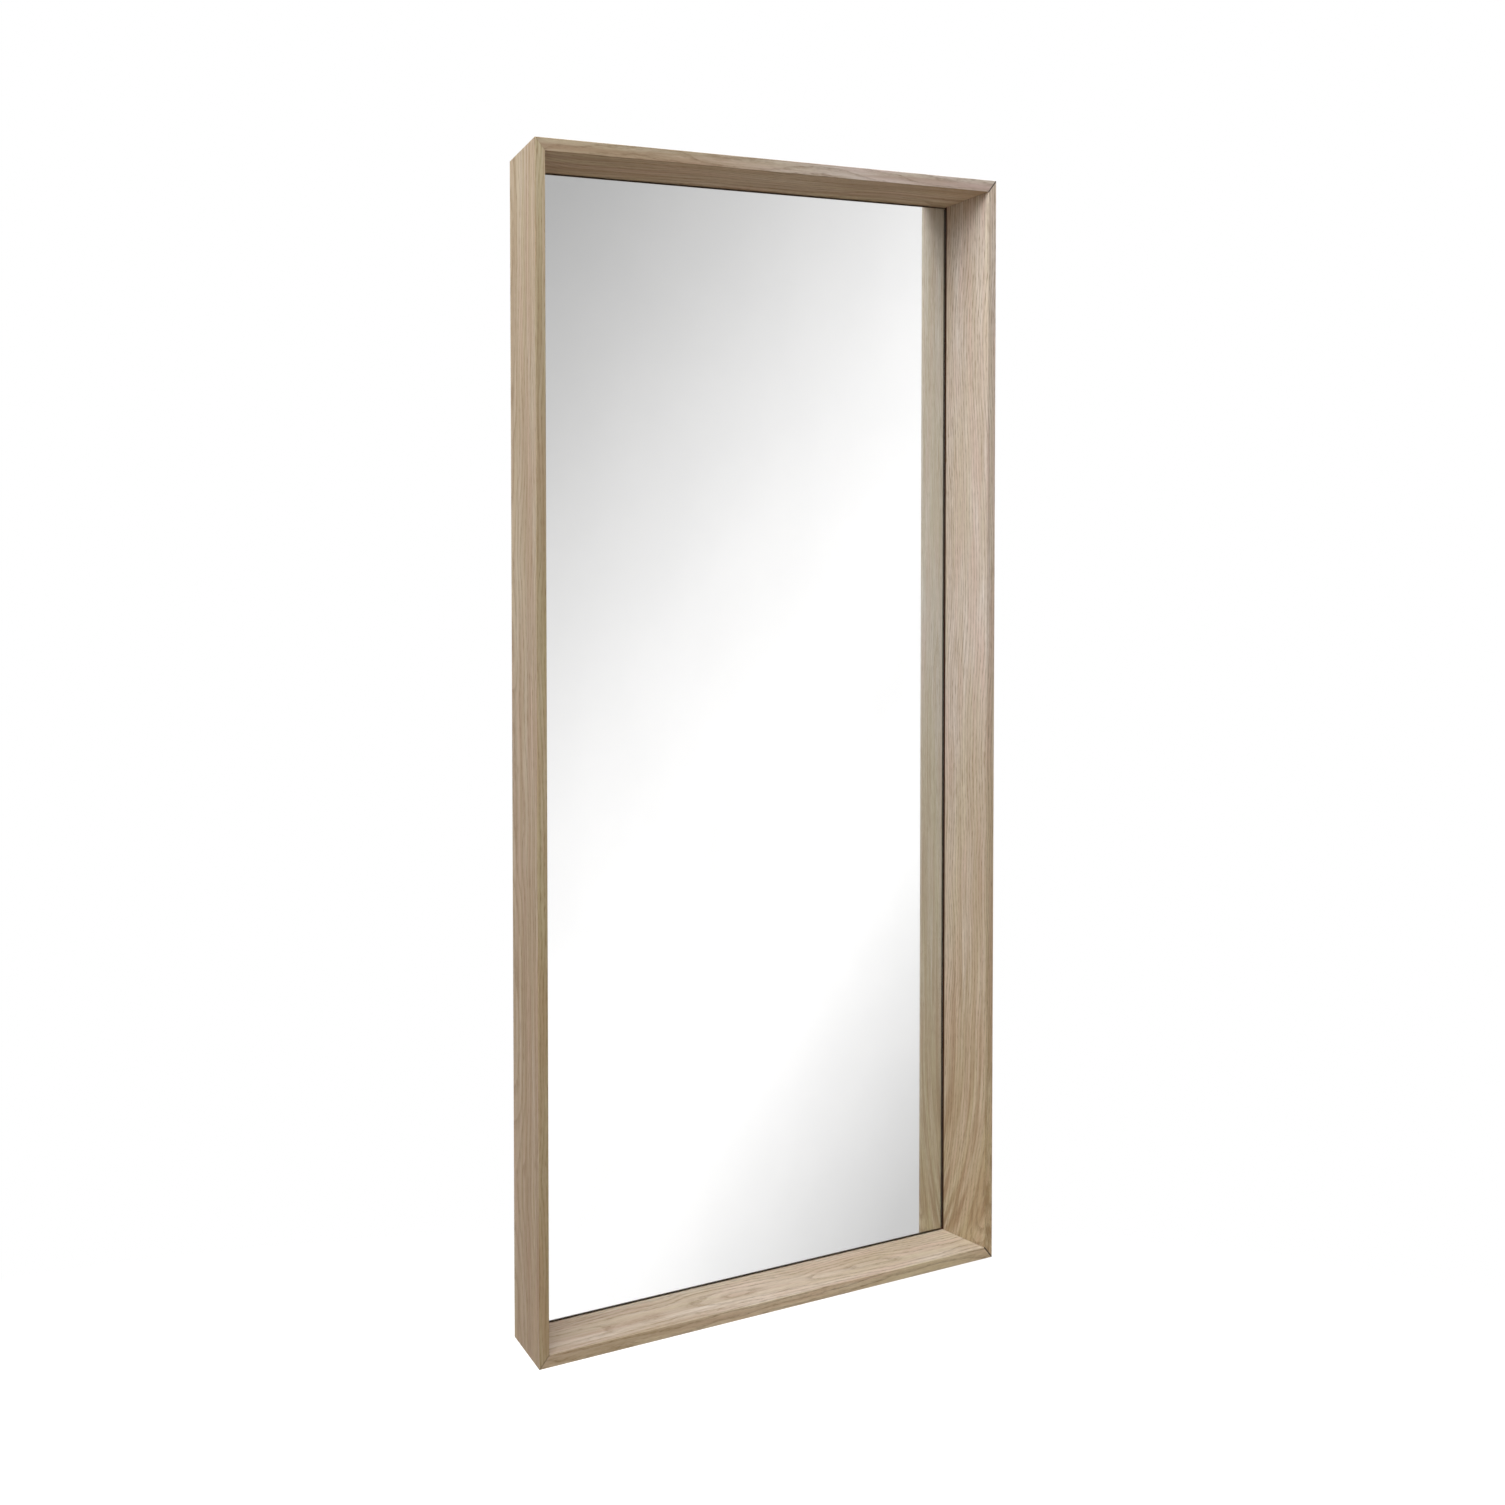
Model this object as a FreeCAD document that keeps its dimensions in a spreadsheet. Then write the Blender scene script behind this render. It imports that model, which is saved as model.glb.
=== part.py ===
# Rectangular wall mirror in a canted box frame.
#
# Four oak-veneered boards lean outwards to the front, like the sides of a tray, and meet in
# compound mitres with a plywood spline in each. A fibreboard panel is let into a rebate at the
# back and stapled to the boards. The mirror pane is held to the panel by strips of foam tape,
# with a narrow gap all round. Four keyhole plates are let into the panel: two for hanging the
# mirror upright and two for hanging it on its side.
#
# Millimetres. X runs to the right, Y from the front to the wall and Z up. The origin is the
# centre of the back face, which lies against the wall.

import FreeCAD, Part
import math
import os
import Sketcher

App = FreeCAD
Vector = App.Vector

# Driving dimensions: name, value and what it is
SIZES = [
    ("front_width", 1000.0, "frame, outside, at the front"),
    ("front_height", 1800.0, "frame, outside, at the front"),
    ("frame_depth", 90.0, "frame, front to back"),
    ("side_inset", 28.0, "how far each side comes in from the front to the back"),
    ("board_thickness", 18.0, "frame board, square to its faces"),
    ("edge_radius", 0.6, "eased edges of a frame board"),
    ("seat_width", 11.0, "shoulder of the rebate that the panel lies on"),
    ("panel_thickness", 12.0, "back panel, and the depth of its rebate"),
    ("panel_gap", 0.3, "from the panel to the wall of its rebate"),
    ("tape_thickness", 1.0, "foam tape between panel and pane"),
    ("tape_width", 25.0, "one strip of tape"),
    ("tape_margin", 40.0, "from the end of a strip to the edge of the pane"),
    ("tape_side", 114.0, "from the side of the pane to the middle of the first strip"),
    ("pane_thickness", 4.0, "mirror pane"),
    ("pane_gap", 1.0, "from the back edge of the pane to the boards"),
    ("pane_arris", 0.4, "ground front edges of the pane"),
    ("spline_length", 56.0, "spline, along the mitre"),
    ("spline_width", 15.0, "spline, across the mitre"),
    ("spline_thickness", 4.0, "spline"),
    ("spline_gap", 0.2, "glue gap all round a spline"),
    ("spline_back", 51.0, "from the back face to the middle of a spline"),
    ("spline_offset", 1.5, "from the middle of the board to the spline, inwards"),
    ("staple_crown", 10.8, "staple, over all"),
    ("staple_leg", 25.0, "staple, over all"),
    ("staple_wire", 1.2, "staple, wire measured along the crown's own plane"),
    ("staple_thickness", 1.0, "staple, wire measured the other way"),
    ("staple_gap", 0.05, "from a staple to the wall of its slot"),
    ("staple_end_gap", 0.3, "from the end of a leg to the end of its slot"),
    ("staple_edge", 5.0, "from the edge of the panel to its staples"),
    ("staple_corner", 90.0, "from the corner of the panel to the first staple"),
    ("plate_length", 50.0, "keyhole plate"),
    ("plate_width", 20.0, "keyhole plate"),
    ("plate_thickness", 1.5, "keyhole plate, and the depth of its recess"),
    ("plate_gap", 0.2, "from a plate to the wall of its recess"),
    ("entry_diameter", 10.5, "round end of a keyhole, where the head of a wall screw goes in"),
    ("neck_width", 5.5, "slot of a keyhole, for the neck of a wall screw"),
    ("neck_travel", 10.0, "from the middle of the round end to the end of the slot"),
    ("head_pocket_width", 13.0, "pocket behind a keyhole, for the head of a wall screw"),
    ("head_pocket_depth", 9.0, "that pocket, from the back face"),
    ("screw_head", 6.2, "diameter of a countersunk head"),
    ("screw_shank", 3.0, "diameter"),
    ("screw_length", 9.5, "over all"),
    ("screw_tip", 2.5, "length of the pointed end"),
    ("screw_spacing", 38.0, "between the two screws of a plate"),
    ("screw_gap", 0.1, "from a screw to the wall of its hole"),
    ("screw_end_gap", 0.3, "from the point of a screw to the end of its hole"),
    ("upright_side", 200.0, "from each side of the frame to the keyholes for hanging it upright"),
    ("upright_drop", 160.0, "from the top of the frame to those keyholes"),
    ("sideways_end", 300.0, "from each end of the frame to the keyholes for hanging it sideways"),
    ("sideways_drop", 160.0, "from the left side of the frame to those keyholes"),
    ("overrun", 5.0, "how far a cutting outline runs past what it cuts"),
]

STILE_STAPLES = 7
RAIL_STAPLES = 4
TAPE_STRIPS = 4
COUNTERSINK_DEGREES = 90


class Length:
    """A length worked out from the sheet: its value, and the expression that binds it."""

    def __init__(self, value, text):
        self.value = value
        self.text = text

    def __add__(self, other):
        other = as_length(other)
        return Length(self.value + other.value, f"({self.text} + {other.text})")

    def __sub__(self, other):
        other = as_length(other)
        return Length(self.value - other.value, f"({self.text} - {other.text})")

    def __mul__(self, other):
        other = as_length(other)
        return Length(self.value * other.value, f"({self.text} * {other.text})")

    def __truediv__(self, other):
        other = as_length(other)
        return Length(self.value / other.value, f"({self.text} / {other.text})")

    def __neg__(self):
        return self * -1

    __rmul__ = __mul__


def as_length(value):
    """A plain number, such as a share or a sign, in the same form as a length."""
    return value if isinstance(value, Length) else Length(value, f"({value})")


def root(length):
    """Square root."""
    return Length(math.sqrt(length.value), f"sqrt({length.text})")


class Named:
    """The driving dimensions under their names."""


doc = App.newDocument("wall_mirror")
sheet = doc.addObject("Spreadsheet::Sheet", "Sizes")
for row, (alias, value, note) in enumerate(SIZES, start=1):
    sheet.set(f"A{row}", note)
    sheet.set(f"B{row}", str(value))
    sheet.setAlias(f"B{row}", alias)
doc.recompute()

size = Named()
for alias, _, _ in SIZES:
    setattr(size, alias, Length(float(sheet.get(alias)), f"Sizes.{alias}"))

# The cant of the boards: how far a side comes in for each millimetre towards the back
cant = size.side_inset / size.frame_depth
# A canted board's thickness measured across the front, wider than the board itself
front_face = size.board_thickness * root(cant * cant + 1)

half_width = size.front_width / 2
half_height = size.front_height / 2


def outer(half, back):
    """From the centre to the outside of the frame, at a distance from the back face."""
    return half - size.side_inset + cant * back


def inner(half, back):
    """From the centre to the inside of the frame, at a distance from the back face."""
    return outer(half, back) - front_face


def seat_edge(half):
    """From the centre to the wall of the rebate."""
    return inner(half, size.panel_thickness) + size.seat_width


def panel_half(half):
    """Half the panel's width or height."""
    return seat_edge(half) - size.panel_gap


def pane_half(half):
    """Half the pane's width or height."""
    return inner(half, size.panel_thickness + size.tape_thickness) - size.pane_gap


def staple_span(half):
    """From the first to the last staple along one edge of the panel."""
    return (panel_half(half) - size.staple_corner) * 2


def spread(count, span):
    """Places of evenly spaced copies, the first and the last a span apart."""
    return [span * (step / (count - 1) - 0.5) for step in range(count)]


# Helpers for bodies, sketches and features


def new_body(label):
    """A body with its own origin planes."""
    body = doc.addObject("PartDesign::Body", label)
    body.Label = label
    return body


def new_sketch(body, name, role, offset=None):
    """A sketch on one of the body's own origin planes, or at a place counted from it."""
    plane = next(item for item in body.Origin.OriginFeatures if item.Role == role)
    sketch = body.newObject("Sketcher::SketchObject", f"{body.Name}_{name}")
    sketch.AttachmentSupport = [(plane, "")]
    sketch.MapMode = "FlatFace"
    if offset is not None:
        sketch.AttachmentOffset = offset
    return sketch


def set_back(sketch, back):
    """Puts a sketch on the XZ plane this far in front of the back face."""
    sketch.AttachmentOffset = App.Placement(Vector(0, 0, back.value), App.Rotation())
    sketch.setExpression("AttachmentOffset.Base.z", back.text)


def pin(sketch, edge, point, x, y):
    """Ties a point of a sketch to a place that the sheet gives."""
    for kind, length in (("DistanceX", as_length(x)), ("DistanceY", as_length(y))):
        index = sketch.addConstraint(Sketcher.Constraint(kind, -1, 1, edge, point, length.value))
        sketch.setExpression(f"Constraints[{index}]", length.text)


def size_of(sketch, kind, edge, length):
    """Ties a radius or diameter of a sketch to the sheet."""
    index = sketch.addConstraint(Sketcher.Constraint(kind, edge, length.value))
    sketch.setExpression(f"Constraints[{index}]", length.text)


def flat(x, y):
    """A point in the plane of a sketch."""
    return Vector(as_length(x).value, as_length(y).value, 0)


def polygon(sketch, corners):
    """A closed outline of straight edges."""
    edges = []
    for start, end in zip(corners, corners[1:] + corners[:1]):
        edges.append(sketch.addGeometry(Part.LineSegment(flat(*start), flat(*end))))
    for edge, following in zip(edges, edges[1:] + edges[:1]):
        sketch.addConstraint(Sketcher.Constraint("Coincident", edge, 2, following, 1))
    for edge, corner in zip(edges, corners):
        pin(sketch, edge, 1, *corner)


def rectangle(sketch, half_x, half_y, middle_x=0, middle_y=0):
    """A rectangle about a middle."""
    left, right = as_length(middle_x) - half_x, as_length(middle_x) + half_x
    low, high = as_length(middle_y) - half_y, as_length(middle_y) + half_y
    polygon(sketch, [(left, low), (right, low), (right, high), (left, high)])


def circle(sketch, x, y, diameter):
    """A circle tied to the sheet by its centre and its diameter."""
    edge = sketch.addGeometry(Part.Circle(flat(x, y), Vector(0, 0, 1), diameter.value / 2))
    pin(sketch, edge, 3, x, y)
    size_of(sketch, "Diameter", edge, diameter)


def rounded_slot(sketch, low, high, half):
    """An outline with half-round ends, upright on the sketch's Y axis."""
    ends = []
    for middle, sign in ((as_length(high), 1), (as_length(low), -1)):
        top = Vector(0, middle.value + sign * half.value, 0)
        arc = Part.Arc(flat(sign * half, middle), top, flat(-sign * half, middle))
        edge = sketch.addGeometry(arc)
        pin(sketch, edge, 3, 0, middle)
        size_of(sketch, "Radius", edge, half)
        ends.append(edge)
    for edge, following, sign in ((ends[0], ends[1], -1), (ends[1], ends[0], 1)):
        start, end = (high, low) if sign < 0 else (low, high)
        side = sketch.addGeometry(Part.LineSegment(flat(sign * half, start), flat(sign * half, end)))
        sketch.addConstraint(Sketcher.Constraint("Tangent", edge, 2, side, 1))
        sketch.addConstraint(Sketcher.Constraint("Tangent", side, 2, following, 1))


def pad(body, sketch, length, midplane=False):
    """Raises a sketch into a solid."""
    feature = body.newObject("PartDesign::Pad", f"{sketch.Name}_pad")
    feature.Profile = sketch
    feature.Midplane = midplane
    feature.setExpression("Length", length.text)
    doc.recompute()
    return feature


def must_cut(body, feature, before):
    """Stops the build if a cutting feature has taken nothing away."""
    doc.recompute()
    if not feature.Shape.Volume < before:
        raise RuntimeError(f"{feature.Name} cuts nothing from {body.Label}")


def pocket(body, sketch, depth, midplane=False):
    """Cuts a sketch out of a body: from the back face forwards, or to both sides."""
    before = body.Shape.Volume
    feature = body.newObject("PartDesign::Pocket", f"{sketch.Name}_pocket")
    feature.Profile = sketch
    feature.Midplane = midplane
    feature.Reversed = not midplane
    feature.setExpression("Length", depth.text)
    must_cut(body, feature, before)
    return feature


def repeat(body, features, sketch, axis, span, count):
    """Repeats cuts in a row along an axis of their sketch."""
    before = body.Shape.Volume
    pattern = body.newObject("PartDesign::LinearPattern", f"{sketch.Name}_row")
    pattern.Originals = features
    pattern.Direction = (sketch, [axis])
    pattern.Occurrences = count
    pattern.setExpression("Length", span.text)
    body.Tip = pattern
    must_cut(body, pattern, before)


def countersink(body, sketch, diameter, head):
    """Countersunk holes through a body, from the back face forwards."""
    before = body.Shape.Volume
    feature = body.newObject("PartDesign::Hole", f"{sketch.Name}_hole")
    feature.Profile = sketch
    doc.recompute()
    feature.Threaded = False
    feature.ThreadType = "None"
    feature.HoleCutType = "Countersink"
    feature.HoleCutCustomValues = True
    feature.HoleCutCountersinkAngle = COUNTERSINK_DEGREES
    feature.DepthType = "ThroughAll"
    feature.Reversed = True
    feature.setExpression("Diameter", diameter.text)
    feature.setExpression("HoleCutDiameter", head.text)
    must_cut(body, feature, before)


def ease(body, feature, radius, wanted):
    """Rounds the edges of a feature that the test picks."""
    edges = [f"Edge{number}" for number, edge in enumerate(feature.Shape.Edges, start=1) if wanted(edge)]
    fillet = body.newObject("PartDesign::Fillet", f"{feature.Name}_eased")
    fillet.Base = (feature, edges)
    fillet.setExpression("Radius", radius.text)
    doc.recompute()


# Frame boards


def corner_place(side, end):
    """The middle of a spline in its mitre, with X along the joint and Y across it."""
    back = size.spline_back
    inwards = front_face / 2 + size.spline_offset
    x = outer(half_width, back) - inwards
    z = outer(half_height, back) - inwards
    along = Vector(-side * cant.value, 1, -end * cant.value)
    across = Vector(side, 0, -end)
    turn = App.Rotation(along, across, along.cross(across), "XYZ")
    return App.Placement(Vector(side * x.value, -back.value, end * z.value), turn)


def leg_slots(sketch, across, first, upright):
    """The slots for the two legs of the first staple in a row."""
    reach = (size.staple_crown - size.staple_wire) / 2
    half_wire = size.staple_wire / 2 + size.staple_gap
    half_flat = size.staple_thickness / 2 + size.staple_gap
    for sign in (-1, 1):
        along = first + sign * reach
        if upright:
            rectangle(sketch, half_flat, half_wire, across, along)
        else:
            rectangle(sketch, half_wire, half_flat, along, across)


def board(label, upright, sign, staples):
    """A frame board: a canted profile, mitred at both ends, with a slot in each mitre."""
    half, half_length = (half_width, half_height) if upright else (half_height, half_width)
    role = "XY_Plane" if upright else "YZ_Plane"
    body = new_body(label)

    # Profile: outer face, back land, rebate and inner face
    seat = size.panel_thickness
    corners = [
        (half, size.frame_depth),
        (half - size.side_inset, as_length(0)),
        (seat_edge(half), as_length(0)),
        (seat_edge(half), seat),
        (inner(half, seat), seat),
        (inner(half, size.frame_depth), size.frame_depth),
    ]
    places = [(sign * across, -back) for across, back in corners]
    if not upright:
        places = [(y, z) for z, y in places]
    profile = new_sketch(body, "profile", role)
    polygon(profile, places)
    blank = pad(body, profile, half_length * 2, midplane=True)

    # Eased edges: both front edges and the outer back edge
    def eased(edge):
        middle = edge.CenterOfMass
        across = abs(middle.x if upright else middle.z)
        along = edge.BoundBox.ZLength if upright else edge.BoundBox.XLength
        in_front = abs(middle.y + size.frame_depth.value) < size.edge_radius.value
        outside = abs(across - (half - size.side_inset).value) < size.edge_radius.value
        return along > half_length.value and (in_front or outside)

    ease(body, blank, size.edge_radius, eased)

    # Mitres: the end beyond each diagonal comes off
    mitres = new_sketch(body, "mitres", "XZ_Plane")
    reach = size.side_inset + front_face + size.overrun
    for end in (-1, 1):
        triangle = [
            (sign * (half + size.overrun), end * (half_length + size.overrun)),
            (sign * (half - reach), end * (half_length - reach)),
            (sign * (half - reach), end * (half_length + size.overrun)),
        ]
        if not upright:
            triangle = [(x, z) for z, x in triangle]
        polygon(mitres, triangle)
    pocket(body, mitres, (size.frame_depth + size.overrun) * 2, midplane=True)

    # A slot for the spline in each mitre, stopped short of the front
    for end in (-1, 1):
        place = corner_place(sign, end) if upright else corner_place(end, sign)
        slot = new_sketch(body, "slot_high" if end > 0 else "slot_low", "XY_Plane", place)
        gap = size.spline_gap
        rectangle(slot, size.spline_length / 2 + gap, size.spline_width / 2 + gap)
        pocket(body, slot, size.spline_thickness + gap * 2, midplane=True)

    # Slots that the legs of the panel's staples have cut, from the shoulder of the rebate
    legs = new_sketch(body, "legs", "XZ_Plane")
    set_back(legs, seat)
    span = staple_span(half_length)
    leg_slots(legs, sign * (panel_half(half) - size.staple_edge), -span / 2, upright)
    cut = pocket(body, legs, size.staple_leg - seat + size.staple_end_gap)
    repeat(body, [cut], legs, "V_Axis" if upright else "H_Axis", span, staples)
    return body


def spline(label, side, end):
    """A plywood spline, half in each board of a mitre."""
    body = new_body(label)
    outline = new_sketch(body, "outline", "XY_Plane")
    rectangle(outline, size.spline_length / 2, size.spline_width / 2)
    pad(body, outline, size.spline_thickness, midplane=True)
    body.Placement = corner_place(side, end)
    return body


# Pane, tape and panel


def mirror_pane():
    """The silvered glass, with its front edges ground."""
    body = new_body("mirror_pane")
    outline = new_sketch(body, "outline", "XZ_Plane")
    back = size.panel_thickness + size.tape_thickness
    set_back(outline, back)
    rectangle(outline, pane_half(half_width), pane_half(half_height))
    glass = pad(body, outline, size.pane_thickness)
    front = -(back + size.pane_thickness).value
    edges = []
    for number, edge in enumerate(glass.Shape.Edges, start=1):
        ends = [abs(vertex.Point.y - front) for vertex in edge.Vertexes]
        if max(ends) < size.pane_arris.value:
            edges.append(f"Edge{number}")
    chamfer = body.newObject("PartDesign::Chamfer", "ground_edges")
    chamfer.Base = (glass, edges)
    chamfer.setExpression("Size", size.pane_arris.text)
    doc.recompute()
    return body


def mounting_tape():
    """Upright strips of foam tape between the panel and the pane."""
    body = new_body("mounting_tape")
    outline = new_sketch(body, "outline", "XZ_Plane")
    set_back(outline, size.panel_thickness)
    half_strip = pane_half(half_height) - size.tape_margin
    for middle in spread(TAPE_STRIPS, (pane_half(half_width) - size.tape_side) * 2):
        rectangle(outline, size.tape_width / 2, half_strip, middle)
    pad(body, outline, size.tape_thickness)
    return body


def staple_rows():
    """Each row of staples: its name, whether its board is upright, its side and its count, then
    half the frame's size across the row and along it."""
    return [
        ("left", True, -1, STILE_STAPLES, half_width, half_height),
        ("right", True, 1, STILE_STAPLES, half_width, half_height),
        ("top", False, 1, RAIL_STAPLES, half_height, half_width),
        ("bottom", False, -1, RAIL_STAPLES, half_height, half_width),
    ]


def hangers():
    """Each keyhole plate: its name, the place of its round end, and whether it lies sideways."""
    high = half_height - size.upright_drop
    left = size.sideways_drop - half_width
    return [
        ("hanger_upright_left", size.upright_side - half_width, high, False),
        ("hanger_upright_right", half_width - size.upright_side, high, False),
        ("hanger_sideways_top", left, half_height - size.sideways_end, True),
        ("hanger_sideways_bottom", left, size.sideways_end - half_height, True),
    ]


def hanger_place(x, z, sideways):
    """Turns and moves a plate, or what goes with it, to its place in the panel."""
    turn = App.Rotation(Vector(0, 1, 0), -90 if sideways else 0)
    return App.Placement(Vector(x.value, 0, z.value), turn)


def screw_heights():
    """Where a plate's two screws are, counted from the round end of its keyhole."""
    return [size.neck_travel / 2 + place for place in spread(2, size.screw_spacing)]


def plate_ends(half):
    """The middles of the half-round ends of a plate's outline."""
    reach = size.plate_length / 2 - size.plate_width / 2
    return size.neck_travel / 2 - reach, size.neck_travel / 2 + reach, half


def back_panel():
    """The fibreboard panel, with recesses for the keyhole plates and slots for its staples."""
    body = new_body("back_panel")
    outline = new_sketch(body, "outline", "XZ_Plane")
    rectangle(outline, panel_half(half_width), panel_half(half_height))
    pad(body, outline, size.panel_thickness)

    # The plane's own turn comes first, so a recess is placed in its X and Y
    for number, (_, x, z, sideways) in enumerate(hangers(), start=1):
        turn = App.Rotation(Vector(0, 0, 1), 90 if sideways else 0)
        place = App.Placement(flat(x, z), turn)
        recess = new_sketch(body, f"recess_{number}", "XZ_Plane", place)
        rounded_slot(recess, *plate_ends(size.plate_width / 2 + size.plate_gap))
        pocket(body, recess, size.plate_thickness)
        head_pocket = new_sketch(body, f"head_pocket_{number}", "XZ_Plane", place)
        rounded_slot(head_pocket, 0, size.neck_travel, size.head_pocket_width / 2)
        pocket(body, head_pocket, size.head_pocket_depth)
        pilots = new_sketch(body, f"pilots_{number}", "XZ_Plane", place)
        for height in screw_heights():
            circle(pilots, 0, height, size.screw_shank + size.screw_gap * 2)
        pocket(body, pilots, size.screw_length + size.screw_end_gap)

    # Staples: a shallow slot for the crown and one right through for each leg
    for name, upright, sign, count, half, half_length in staple_rows():
        across, span = sign * (panel_half(half) - size.staple_edge), staple_span(half_length)
        half_crown = size.staple_crown / 2 + size.staple_gap
        half_flat = size.staple_thickness / 2 + size.staple_gap
        crowns = new_sketch(body, f"crowns_{name}", "XZ_Plane")
        if upright:
            rectangle(crowns, half_flat, half_crown, across, -span / 2)
        else:
            rectangle(crowns, half_crown, half_flat, -span / 2, across)
        legs = new_sketch(body, f"legs_{name}", "XZ_Plane")
        leg_slots(legs, across, -span / 2, upright)
        cuts = [pocket(body, crowns, size.staple_wire), pocket(body, legs, size.panel_thickness)]
        repeat(body, cuts, legs, "V_Axis" if upright else "H_Axis", span, count)
    return body


# Hangers, screws and staples


def keyhole_plate(label, x, z, sideways):
    """A steel plate with a keyhole: a round hole for a screw head and a slot for its neck."""
    body = new_body(label)
    outline = new_sketch(body, "outline", "XZ_Plane")
    rounded_slot(outline, *plate_ends(size.plate_width / 2))
    pad(body, outline, size.plate_thickness)

    entry = new_sketch(body, "entry", "XZ_Plane")
    circle(entry, 0, 0, size.entry_diameter)
    pocket(body, entry, size.plate_thickness)
    neck = new_sketch(body, "neck", "XZ_Plane")
    half = size.neck_width / 2
    rounded_slot(neck, 0, size.neck_travel - half, half)
    pocket(body, neck, size.plate_thickness)

    holes = new_sketch(body, "holes", "XZ_Plane")
    play = size.screw_gap * 2
    for height in screw_heights():
        circle(holes, 0, height, size.screw_shank + play)
    countersink(body, holes, size.screw_shank + play, size.screw_head + play)
    body.Placement = hanger_place(x, z, sideways)
    return body


def countersunk_screw():
    """One screw with its head at the back face and its point to the front."""
    body = new_body("screw")
    profile = new_sketch(body, "profile", "XY_Plane")
    corners = [
        (as_length(0), as_length(0)),
        (size.screw_head / 2, as_length(0)),
        (size.screw_shank / 2, (size.screw_shank - size.screw_head) / 2),
        (size.screw_shank / 2, size.screw_tip - size.screw_length),
        (as_length(0), -size.screw_length),
    ]
    polygon(profile, corners)
    turned = body.newObject("PartDesign::Revolution", "screw_turned")
    turned.Profile = profile
    turned.ReferenceAxis = (profile, ["V_Axis"])
    doc.recompute()
    return body


def wire_staple():
    """One staple with its crown at the back face, along X, and its legs to the front."""
    body = new_body("staple")
    outline = new_sketch(body, "outline", "XY_Plane")
    half = size.staple_crown / 2
    inside = half - size.staple_wire
    corners = [
        (-half, as_length(0)),
        (-half, -size.staple_leg),
        (-inside, -size.staple_leg),
        (-inside, -size.staple_wire),
        (inside, -size.staple_wire),
        (inside, -size.staple_leg),
        (half, -size.staple_leg),
        (half, as_length(0)),
    ]
    polygon(outline, corners)
    pad(body, outline, size.staple_thickness, midplane=True)
    return body


def group(label, original, places):
    """Copies of one fastener, kept together under one name."""
    links = []
    for number, (x, z, upright) in enumerate(places, start=1):
        link = doc.addObject("App::Link", f"{label}_{number}")
        link.LinkedObject = original
        link.Placement = App.Placement(Vector(), App.Rotation(Vector(0, 1, 0), 90 if upright else 0))
        link.setExpression("Placement.Base.x", x.text)
        link.setExpression("Placement.Base.z", z.text)
        links.append(link)
    compound = doc.addObject("Part::Compound", label)
    compound.Label = label
    compound.Links = links
    doc.recompute()
    return compound


def staple_places():
    """Where the staples go round the edge of the panel, and whether they stand upright."""
    places = []
    for _, upright, sign, count, half, half_length in staple_rows():
        across = sign * (panel_half(half) - size.staple_edge)
        for along in spread(count, staple_span(half_length)):
            places.append((across, along, True) if upright else (along, across, False))
    return places


def screw_places():
    """Where the screws of all the keyhole plates go."""
    places = []
    for _, x, z, sideways in hangers():
        for height in screw_heights():
            places.append((x - height, z, False) if sideways else (x, z + height, False))
    return places


nodes = [
    board("stile_left", True, -1, STILE_STAPLES),
    board("stile_right", True, 1, STILE_STAPLES),
    board("rail_top", False, 1, RAIL_STAPLES),
    board("rail_bottom", False, -1, RAIL_STAPLES),
    spline("spline_top_left", -1, 1),
    spline("spline_top_right", 1, 1),
    spline("spline_bottom_left", -1, -1),
    spline("spline_bottom_right", 1, -1),
    mirror_pane(),
    mounting_tape(),
    back_panel(),
]
nodes += [keyhole_plate(*hanger) for hanger in hangers()]
nodes.append(group("panel_staples", wire_staple(), staple_places()))
nodes.append(group("hanger_screws", countersunk_screw(), screw_places()))

doc.recompute()
for item in doc.Objects:
    if "Invalid" in item.State or "Error" in item.State:
        raise RuntimeError(f"{item.Name} did not build: {item.State}")
for node in nodes:
    if node.Shape.isNull() or not node.Shape.isValid():
        raise RuntimeError(f"{node.Label} has no valid shape")

os.makedirs("parts", exist_ok=True)
for node in nodes:
    node.Shape.exportStep(os.path.join("parts", f"{node.Label}.step"))
    print(node.Label, len(node.Shape.Solids), round(node.Shape.Volume))
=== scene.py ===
from collections import namedtuple
from math import cos, pi, radians, sin

import bpy
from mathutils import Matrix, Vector


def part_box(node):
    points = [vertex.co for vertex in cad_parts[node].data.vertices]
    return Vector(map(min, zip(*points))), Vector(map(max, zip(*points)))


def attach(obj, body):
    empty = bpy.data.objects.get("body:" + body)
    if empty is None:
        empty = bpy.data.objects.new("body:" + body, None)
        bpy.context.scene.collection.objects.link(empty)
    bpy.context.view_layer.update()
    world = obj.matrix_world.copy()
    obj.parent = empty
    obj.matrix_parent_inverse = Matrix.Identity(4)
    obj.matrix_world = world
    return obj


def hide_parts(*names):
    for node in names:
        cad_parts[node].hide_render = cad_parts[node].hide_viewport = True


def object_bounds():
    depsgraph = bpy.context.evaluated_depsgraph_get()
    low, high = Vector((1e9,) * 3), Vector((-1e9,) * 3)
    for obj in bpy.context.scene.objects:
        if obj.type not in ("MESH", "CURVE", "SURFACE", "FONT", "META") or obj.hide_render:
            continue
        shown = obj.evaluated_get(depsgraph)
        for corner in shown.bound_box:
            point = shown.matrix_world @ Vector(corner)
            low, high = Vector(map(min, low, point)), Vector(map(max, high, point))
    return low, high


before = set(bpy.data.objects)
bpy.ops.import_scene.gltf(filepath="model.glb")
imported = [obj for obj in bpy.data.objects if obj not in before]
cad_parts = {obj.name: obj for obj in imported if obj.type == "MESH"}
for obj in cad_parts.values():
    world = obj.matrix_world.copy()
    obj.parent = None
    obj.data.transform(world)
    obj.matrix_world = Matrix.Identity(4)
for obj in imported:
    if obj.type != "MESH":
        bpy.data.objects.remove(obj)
cad_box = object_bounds()
frame_front = cad_box[0][1]

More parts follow.
